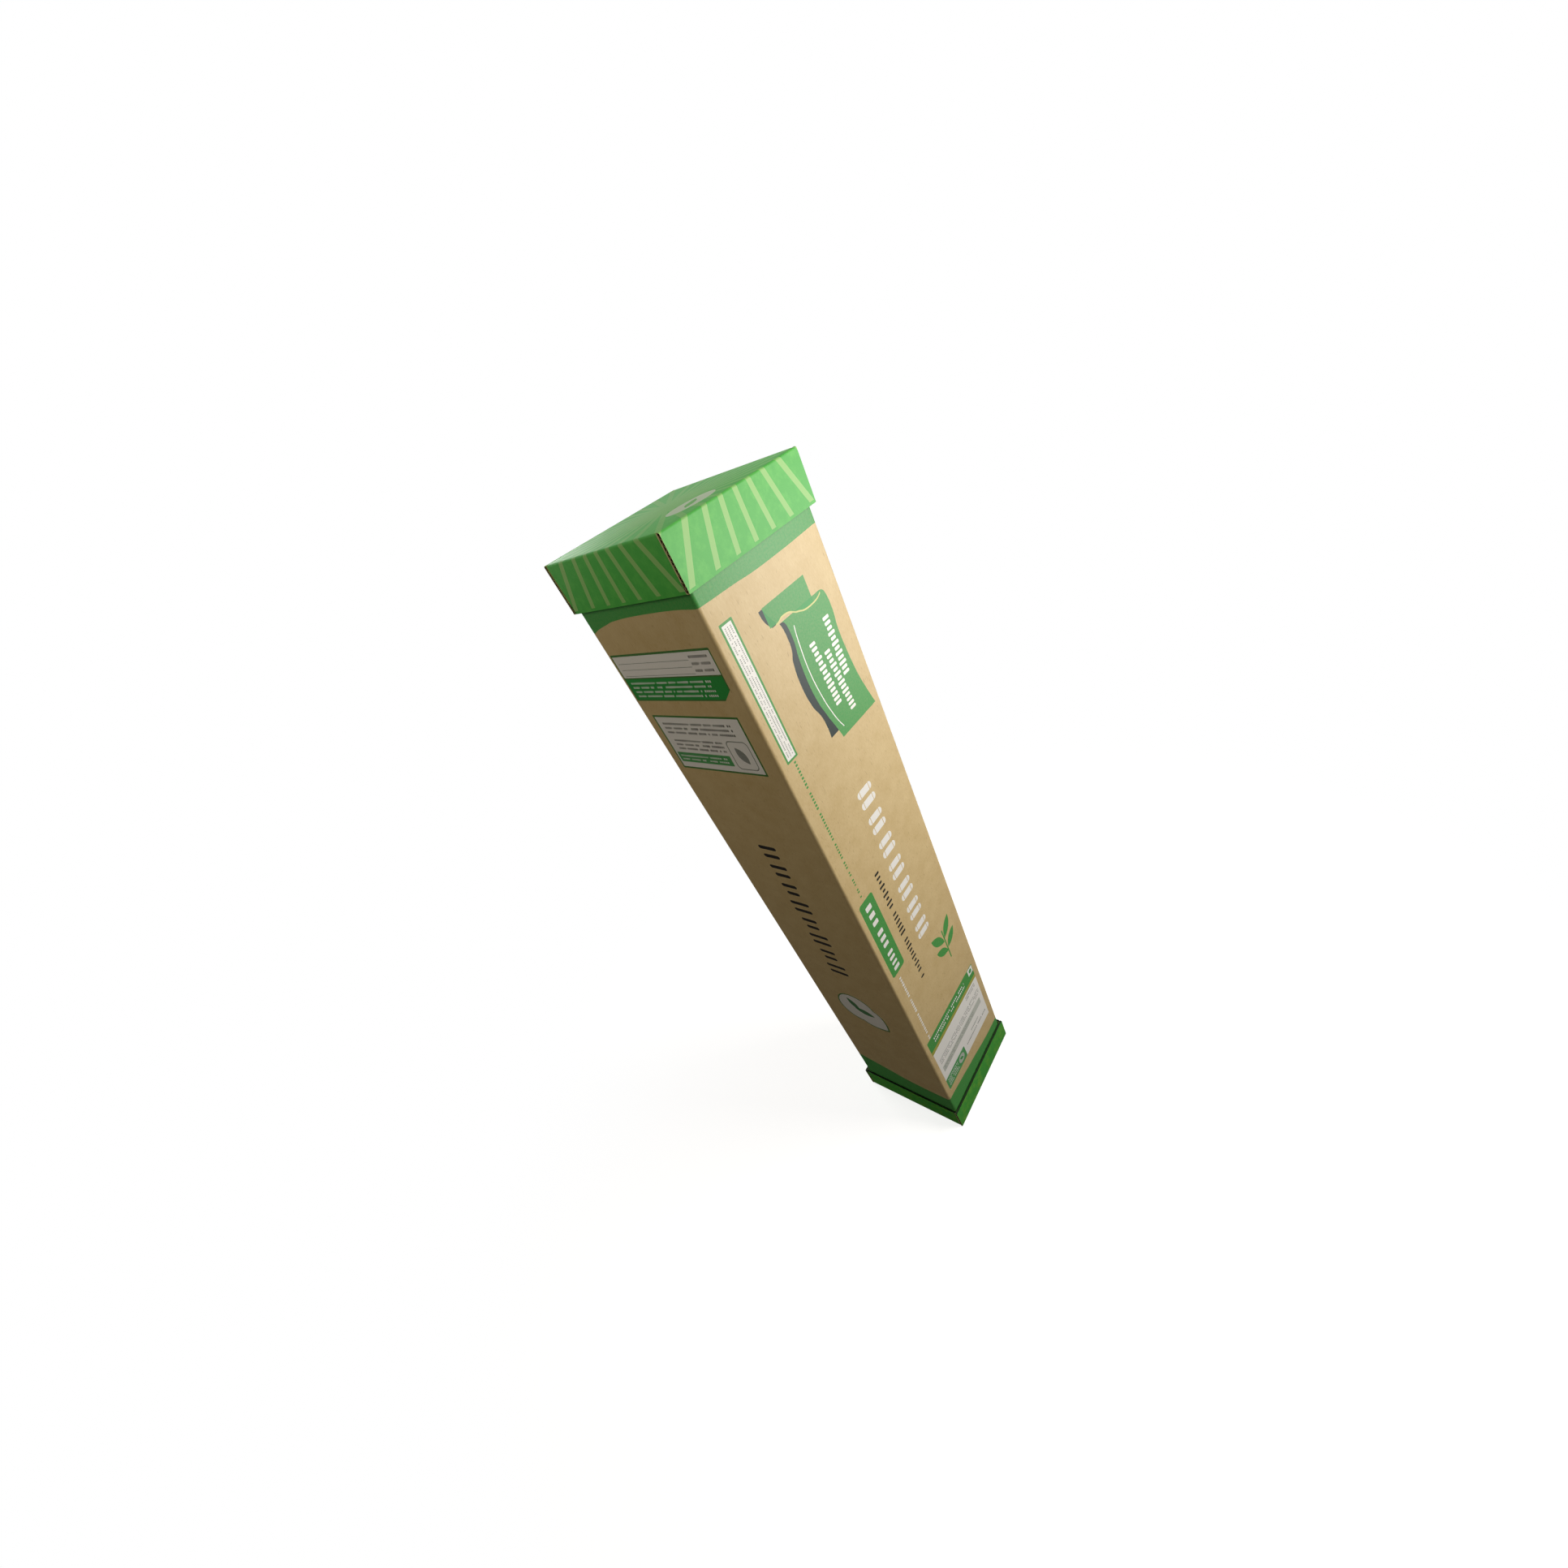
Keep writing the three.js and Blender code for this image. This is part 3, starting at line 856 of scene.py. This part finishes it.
raySettings = {
    "ray": "#98cb78",
    "oval": "#cfe3c4",
    "leaf": "#6bb95a",
    "top": 1247.0,
    "count": 32,
    "width": 7.6,
    "creep": 0.78,  # how fast a ray spreads on its way down a wall
    "stop": 58.5,
    "worn": (2.5, 0.45),  # over the fold the rays are rubbed paler
    "ovalMiddle": (-21.0, -67.0),
    "ovalReach": (34.0, 25.0),
    "leafSize": (38, 13),
    "leafTurn": 28,
}


def rayPrint(tree, x, y, z, facing, ink, settings):
    # rays from the panel's middle that run on down the walls, under a pale oval with a leaf
    depth = addNode(tree, "Math", "SUBTRACT", (settings["top"], z))
    reach = addNode(tree, "Math", "MULTIPLY", (depth, settings["creep"]))
    side = addNode(tree, "Math", "SUBTRACT", (1.0, facing))
    outX = addNode(tree, "Math", "MULTIPLY", (reach, side))
    outY = addNode(tree, "Math", "MULTIPLY", (reach, facing))
    signX = addNode(tree, "Math", "SIGN", (x,))
    signY = addNode(tree, "Math", "SIGN", (y,))
    flatX = addNode(tree, "Math", "MULTIPLY_ADD", (outX, signX, x))
    flatY = addNode(tree, "Math", "MULTIPLY_ADD", (outY, signY, y))
    angle = addNode(tree, "Math", "ARCTAN2", (flatY, flatX))
    off = addNode(tree, "Math", "PINGPONG", (angle, math.pi / settings["count"]))
    flat = addNode(tree, "CombineXYZ", {}, (flatX, flatY))
    far = addNode(tree, "VectorMath", "LENGTH", (flat,)).outputs["Value"]
    aside = addNode(tree, "Math", "MULTIPLY", (off, far))
    ray = addNode(tree, "Math", "LESS_THAN", (aside, settings["width"] / 2))
    above = addNode(tree, "Math", "LESS_THAN", (depth, settings["stop"]))
    wornDepth, least = settings["worn"]
    fade = addNode(tree, "MapRange", {}, {"Value": depth, "From Max": wornDepth, "To Min": least})
    shown = addNode(tree, "Math", "MULTIPLY", (ray, above))
    shown = addNode(tree, "Math", "MULTIPLY", (shown, fade))
    ink = addNode(tree, "Mix", colourMix, {0: shown, 6: ink, 7: linear(settings["ray"])}).outputs[2]
    moved = addNode(tree, "VectorMath", "SUBTRACT", (flat, (*settings["ovalMiddle"], 0)))
    stretched = addNode(tree, "VectorMath", "DIVIDE", (moved, (*settings["ovalReach"], 1)))
    fromMiddle = addNode(tree, "VectorMath", "LENGTH", (stretched,)).outputs["Value"]
    within = addNode(tree, "Math", "LESS_THAN", (fromMiddle, 1.0))
    ink = addNode(tree, "Mix", colourMix, {0: within, 6: ink, 7: linear(settings["oval"])}).outputs[2]
    shape = {"leaf": settings["ovalMiddle"] + settings["leafSize"], "turn": settings["leafTurn"]}
    inLeaf = leafMask(tree, flat, shape)
    return addNode(tree, "Mix", colourMix, {0: inLeaf, 6: ink, 7: linear(settings["leaf"])}).outputs[2]


def greenBoard(node, inked, settings, board, cap, rays=None):
    # satin green ink, lightly mottled, on the outside; bare kraft inside; painted shade, near-black, in the
    # raw edges' open flutes
    low, high = (Vector(corner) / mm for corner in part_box(node))
    fold, thick = cap["fold"] / mm, board["thickness"] / mm
    material, tree, shader = newMaterial(inked["material"])
    place = millimetres(tree)
    x, y, z = addNode(tree, "SeparateXYZ", {}, (place,)).outputs
    paper = kraftColour(tree, place, paperSettings)
    mottle = addNode(tree, "TexNoise", {}, {"Vector": place, "Scale": 1 / settings["mottle"], "Detail": 8.0,
                                            "Roughness": 0.65})
    least, most = settings["patches"]
    share = addNode(tree, "MapRange", {}, {"Value": mottle, "From Min": least, "From Max": most})
    ink = addNode(tree, "Mix", colourMix,
                  {0: share, 6: linear(inked["ground"]), 7: linear(inked["patch"])}).outputs[2]
    sizeX = addNode(tree, "Math", "ABSOLUTE", (x,))
    sizeY = addNode(tree, "Math", "ABSOLUTE", (y,))
    facing = addNode(tree, "Math", "GREATER_THAN", (sizeY, sizeX))
    if rays:
        ink = rayPrint(tree, x, y, z, facing, ink, rays)

    # ink covers the rounded outside of the folded board, but not the walls' cut ends
    middle = (low + high) / 2
    moved = addNode(tree, "VectorMath", "SUBTRACT", (place, tuple(middle)))
    folded = addNode(tree, "VectorMath", "ABSOLUTE", (moved,))
    core = tuple(half - fold for half in (high - low) / 2)
    past = addNode(tree, "VectorMath", "SUBTRACT", (folded, core))
    beyond = addNode(tree, "VectorMath", "MAXIMUM", (past, (0, 0, 0)))
    distance = addNode(tree, "VectorMath", "LENGTH", (beyond,)).outputs["Value"]
    outward = addNode(tree, "Math", "GREATER_THAN", (distance, fold - settings["skin"]))
    normal = addNode(tree, "NewGeometry", {}).outputs["True Normal"]
    normals = addNode(tree, "SeparateXYZ", {}, (normal,)).outputs
    sideways = addNode(tree, "Math", "ABSOLUTE", (normals["X"],))
    endOn = addNode(tree, "Math", "GREATER_THAN", (sideways, settings["endFacing"]))
    inWall = thick - settings["reveal"]
    atEnd = addNode(tree, "Math", "GREATER_THAN", (sizeY, high.y - inWall))
    rawEnd = addNode(tree, "Math", "MULTIPLY", (endOn, atEnd))
    printed = addNode(tree, "Math", {"operation": "SUBTRACT", "use_clamp": True}, (outward, rawEnd))
    if rays:
        downward = addNode(tree, "Math", "LESS_THAN", (normals["Z"], -square))
        printed = addNode(tree, "Math", {"operation": "SUBTRACT", "use_clamp": True}, (printed, downward))
    colour = addNode(tree, "Mix", colourMix, {0: printed, 6: paper, 7: ink}).outputs[2]

    # the ink cracks to bare pale liner where the side walls turn in behind the front and back walls
    behind, halfWide, deep = settings["crackBand"]
    sideEnd = addNode(tree, "Math", "COMPARE", (sizeY, high.y - behind, halfWide))
    sideFace = addNode(tree, "Math", "GREATER_THAN", (sizeX, high.x - deep))
    crack = addNode(tree, "Math", "MULTIPLY", (sideEnd, sideFace))
    colour = addNode(tree, "Mix", colourMix,
                     {0: crack, 6: colour, 7: linear(settings["crack"])}).outputs[2]

    # shade in the hollow of the open flutes
    covered = addNode(tree, "Math", "SUBTRACT", (1.0, outward))
    besideX = addNode(tree, "Math", "GREATER_THAN", (sizeX, high.x - inWall))
    rim = low.z if rays else high.z
    slotDepth = cap["openFlutes"] / mm + settings["slotExtra"]
    nearRim = addNode(tree, "Math", "COMPARE", (z, rim, slotDepth))
    slotX = addNode(tree, "Math", "MULTIPLY", (besideX, nearRim))
    slots = addNode(tree, "Math", "MAXIMUM", (slotX, atEnd))
    hollow = addNode(tree, "Math", "MULTIPLY", (covered, slots))
    colour = addNode(tree, "Mix", colourMix,
                     {0: hollow, 6: colour, 7: linear(inked["flutes"])}).outputs[2]
    if not rays:
        # the tray's rim is painted dark: ink stain together with painted shade for its open flutes and the
        # gap beside it
        upward = addNode(tree, "Math", "GREATER_THAN", (normals["Z"], square))
        atRim = addNode(tree, "Math", "GREATER_THAN", (z, high.z - settings["stainAndShadeDepth"]))
        stainedAndShaded = addNode(tree, "Math", "MULTIPLY", (upward, atRim))
        colour = addNode(tree, "Mix", colourMix,
                         {0: stainedAndShaded, 6: colour, 7: linear(settings["inkStainAndShade"])}).outputs[2]
    grain = addNode(tree, "TexNoise", {}, {"Vector": place, "Scale": settings["grain"], "Detail": 4.0})
    dress(tree, shader, colour, grain, settings["relief"], settings["surface"])
    return material


plainSettings = {
    "flute": 7.8,
    "relief": (0.5, 0.03 * mm),
    "surface": {"Roughness": 0.65, "Specular IOR Level": 0.25},
}


def plainBoard(settings):
    # dull brown unprinted board of the inner box, with the same clouds, flecks and ribs as the tube
    material, tree, shader = newMaterial("plainKraftBoard")
    place = millimetres(tree)
    parts = addNode(tree, "SeparateXYZ", {}, (place,)).outputs
    around = addNode(tree, "Math", "ADD", (parts["X"], parts["Y"]))
    ridges = ribs(tree, around, settings["flute"])
    paper = kraftColour(tree, place, paperSettings)
    dress(tree, shader, paper, ridges, settings["relief"], settings["surface"])
    return material


foilSettings = {
    "silver": "#c3c6c8",
    "dull": "#9ea2a4",
    "warp": 22.0,
    "bend": 14.0,
    "crease": 9.0,
    "fine": 2.2,
    "fineShare": 0.15,
    "relief": (0.7, 0.9 * mm),
    "surface": {"Metallic": 0.9, "Roughness": 0.4, "Coat Weight": 0.4, "Coat Roughness": 0.12},
}


def foilFilm(settings):
    # metallised barrier laminate: bright silver broken into small facets by creases from handling
    material, tree, shader = newMaterial("metallisedFoilFilm")
    place = millimetres(tree)
    warp = addNode(tree, "TexNoise", {},
                   {"Vector": place, "Scale": 1 / settings["warp"], "Detail": 3.0}).outputs["Color"]
    bent = addNode(tree, "VectorMath", "MULTIPLY_ADD", (warp, [settings["bend"]] * 3, place))
    facets = addNode(tree, "TexVoronoi", {"feature": "F1"}, {"Vector": bent, "Scale": 1 / settings["crease"]})
    fine = addNode(tree, "TexNoise", {}, {"Vector": bent, "Scale": 1 / settings["fine"], "Detail": 2.0})
    height = addNode(tree, "Math", "MULTIPLY_ADD", (fine, settings["fineShare"], facets))
    tint = addNode(tree, "Mix", colourMix,
                   {0: facets, 6: linear(settings["silver"]), 7: linear(settings["dull"])}).outputs[2]
    dress(tree, shader, tint, height, settings["relief"], settings["surface"])
    return material


zipSettings = {
    "clear": "#dfe3e2",
    "milky": "#f2f4f2",
    "drawn": (40, 40, 1.2),
    "relief": (0.4, 0.05 * mm),
    "surface": {"Roughness": 0.35, "Subsurface Weight": 0.15, "Subsurface Scale": 2.0 * mm},
}


def zipPlastic(settings):
    # milky polyethylene of the press-to-close strips, faintly ribbed lengthwise and soft in the light
    material, tree, shader = newMaterial("milkyPolyethylene")
    place = millimetres(tree)
    drawn = addNode(tree, "Mapping", {"vector_type": "TEXTURE"},
                    {"Vector": place, "Scale": settings["drawn"]})
    lines = addNode(tree, "TexNoise", {}, {"Vector": drawn, "Scale": 1.0, "Detail": 2.0})
    tint = addNode(tree, "Mix", colourMix,
                   {0: lines, 6: linear(settings["clear"]), 7: linear(settings["milky"])}).outputs[2]
    dress(tree, shader, tint, lines, settings["relief"], settings["surface"])
    return material


sleeve.data.materials.append(printedBoard(printSettings))
bag.data.materials.append(foilFilm(foilSettings))
kraftBoard = plainBoard(plainSettings)
milkyPlastic = zipPlastic(zipSettings)
for name, finish in (("inner_box", kraftBoard), ("zip_rib", milkyPlastic), ("zip_groove", milkyPlastic)):
    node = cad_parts[name]
    if not node.material_slots:
        node.data.materials.append(finish)
    for slot in node.material_slots:
        slot.link = "OBJECT"
        slot.material = finish
for piece, node, rays in ((lid, "lid", raySettings), (tray, "base_tray", None)):
    piece.data.materials.append(
        greenBoard(node, capInks[node], inkedSettings, boardSettings, capSettings, rays))
print("print and papers made")


# Floor, light and surroundings

floorSettings = {
    "radius": 30.0,
    "sides": 64,
    "shade": "#626260",  # what the box's own lighting gets back from the floor
    "glow": 0.8,
    "keep": 0.5,  # how much of the shadow the camera sees
    "clear": (0.35, 1.3),  # the shadow ends between these distances
}


def makeFloor(settings):
    selectNothing()
    bpy.ops.mesh.primitive_circle_add(
        vertices=settings["sides"], radius=settings["radius"], fill_type="NGON")
    floor = bpy.context.object
    floor.name = "studioFloor"
    material, tree, shader = newMaterial("paleFloor")
    tree.nodes.remove(shader)
    plain = addNode(tree, "BsdfDiffuse", {}, {"Color": linear(settings["shade"])})
    shadow = addNode(tree, "BsdfDiffuse", {}, {"Color": (*[settings["keep"]] * 3, 1)})
    glow = addNode(tree, "Emission", {}, {"Strength": settings["glow"]})
    white = addNode(tree, "Emission", {}, {"Strength": 1.0})
    lit = addNode(tree, "AddShader", {}, (shadow, glow))
    place = addNode(tree, "TexCoord", {}).outputs["Object"]
    away = addNode(tree, "VectorMath", "LENGTH", (place,)).outputs["Value"]
    start, end = settings["clear"]
    share = addNode(tree, "MapRange", {"interpolation_type": "SMOOTHSTEP"},
                    {"Value": away, "From Min": start, "From Max": end}).outputs["Result"]
    seen = addNode(tree, "MixShader", {}, (share, lit, white))
    path = addNode(tree, "LightPath", {})
    direct = addNode(tree, "Math", "MAXIMUM",
                     (path.outputs["Is Camera Ray"], path.outputs["Is Transmission Ray"]))
    mixed = addNode(tree, "MixShader", {}, (direct, plain, seen))
    tree.links.new(mixed.outputs[0], tree.nodes["Material Output"].inputs["Surface"])
    floor.data.materials.append(material)


worldSettings = {"fill": 0.05, "fillColour": "#fff6ea"}


def makeWorld(settings):
    world = bpy.data.worlds.new("studioWorld")
    bpy.context.scene.world = world
    world.use_nodes = True
    tree = world.node_tree
    soft = tree.nodes["Background"]
    soft.inputs["Color"].default_value = linear(settings["fillColour"])
    soft.inputs["Strength"].default_value = settings["fill"]
    white = addNode(tree, "Background", {}, {"Color": (1, 1, 1, 1), "Strength": 1.0})
    path = addNode(tree, "LightPath", {})
    clear = addNode(tree, "Math", "MAXIMUM",
                    (path.outputs["Is Glossy Ray"], path.outputs["Is Transmission Ray"]))
    seen = addNode(tree, "Math", "MAXIMUM", (clear, path.outputs["Is Camera Ray"]))
    mixed = addNode(tree, "MixShader", {}, (seen, soft.outputs[0], white))
    tree.links.new(mixed.outputs[0], tree.nodes["World Output"].inputs["Surface"])


# the sheen lamp only lights up the gloss of the inks on the front
lamps = [
    {"name": "keyLamp", "place": (0.75, -1.3, 1.4), "aim": (0, -0.1, 1.05), "size": 0.8, "watts": 25.5,
     "colour": "#fffaf2"},
    {"name": "sheenLamp", "place": (1.37, -1.65, 0.75), "aim": (0, -0.1, 1.15), "size": 1.0, "watts": 80.0,
     "colour": "#ffffff", "glossyOnly": True},
    {"name": "topLamp", "place": (-1.3, 0.2, 2.1), "aim": (0, 0, 1.1), "size": 0.9, "watts": 6.8,
     "colour": "#fff3de"},
    {"name": "backLamp", "place": (0.5, 2.2, 1.4), "aim": (0, 0, 0.7), "size": 1.2, "watts": 20.0,
     "colour": "#ffffff"},
]


def makeLamp(settings):
    data = bpy.data.lights.new(settings["name"], "AREA")
    data.size = settings["size"]
    data.energy = settings["watts"]
    data.color = linear(settings["colour"])[:3]
    lamp = bpy.data.objects.new(settings["name"], data)
    lamp.visible_diffuse = not settings.get("glossyOnly", False)
    bpy.context.scene.collection.objects.link(lamp)
    aim = Vector(settings["aim"]) - Vector(settings["place"])
    turn = aim.to_track_quat("-Z", "Y").to_matrix().to_4x4()
    lamp.matrix_world = Matrix.Translation(settings["place"]) @ turn


makeFloor(floorSettings)
makeWorld(worldSettings)
for settings in lamps:
    makeLamp(settings)
bpy.context.scene.view_settings.view_transform = "Standard"
print("studio set up")

finishPiece(sleeve, "printedSleeve", "carton", "outer_sleeve")
finishPiece(tray, "foldedTray", "carton", "base_tray")
finishPiece(lid, "foldedLid", "lid", "lid")
finishPiece(bag, "creasedBag", "carton", "barrier_bag")
